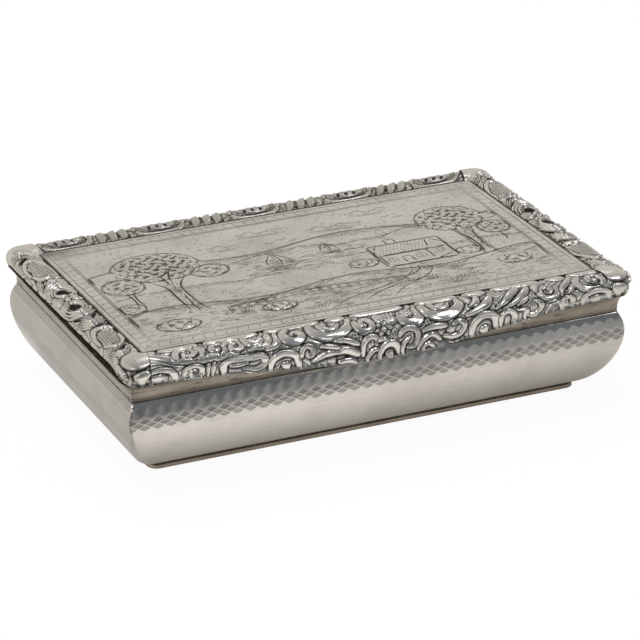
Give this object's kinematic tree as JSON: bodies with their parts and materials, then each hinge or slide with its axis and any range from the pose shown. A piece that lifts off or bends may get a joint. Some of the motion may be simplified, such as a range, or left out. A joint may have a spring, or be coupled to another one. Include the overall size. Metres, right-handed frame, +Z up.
{
  "type": "snuff box",
  "caption": "Rectangular table snuff box with bombe walls, a concave neck and a low foot; a flat hinged lid is framed by raised borders that swell into a thumbpiece at the front.",
  "frame": {"origin": "middle of the box's footprint at the level of the surface that it stands on", "axes": "+X along the long sides, +Y from the thumbpiece side to the hinge side, +Z up"},
  "size_m": [0.0968, 0.0619, 0.0239],
  "materials": {
    "silver": "polished silver, softly worn",
    "engine_turned_silver": "polished silver with an engine-turned band",
    "cast_silver": "polished cast silver with oxidised recesses",
    "engraved_silver": "satin engraved silver",
    "gilt": "gilt silver"
  },
  "bodies": {
    "box_body": {"front_wall": "engine_turned_silver", "back_wall": "silver", "left_wall": "silver", "right_wall": "silver", "base_plate": "gilt", "foot_front": "silver", "foot_back": "silver", "foot_left": "silver", "foot_right": "silver", "neck_front": "silver", "neck_back": "silver", "neck_left": "silver", "neck_right": "silver", "body_knuckle_1": "silver", "body_knuckle_2": "silver", "body_knuckle_3": "silver", "body_knuckle_4": "silver", "hinge_pin": "silver", "hinge_plug_left": "silver", "hinge_plug_right": "silver"},
    "lid": {"lid_plate": "gilt", "scene_panel": "engraved_silver", "border_front": "cast_silver", "border_back": "cast_silver", "border_left": "cast_silver", "border_right": "cast_silver", "flange_front": "gilt", "flange_left": "gilt", "flange_right": "gilt", "lid_bearer": "silver", "lid_knuckle_1": "silver", "lid_knuckle_2": "silver", "lid_knuckle_3": "silver"}
  },
  "joints": [
    {"name": "lid_hinge", "type": "hinge", "parent": "box_body", "child": "lid", "pos_m": [0, 0.02983, 0.0181], "axis": [-1, 0, 0], "range_deg": [-1.2, 100]}
  ]
}
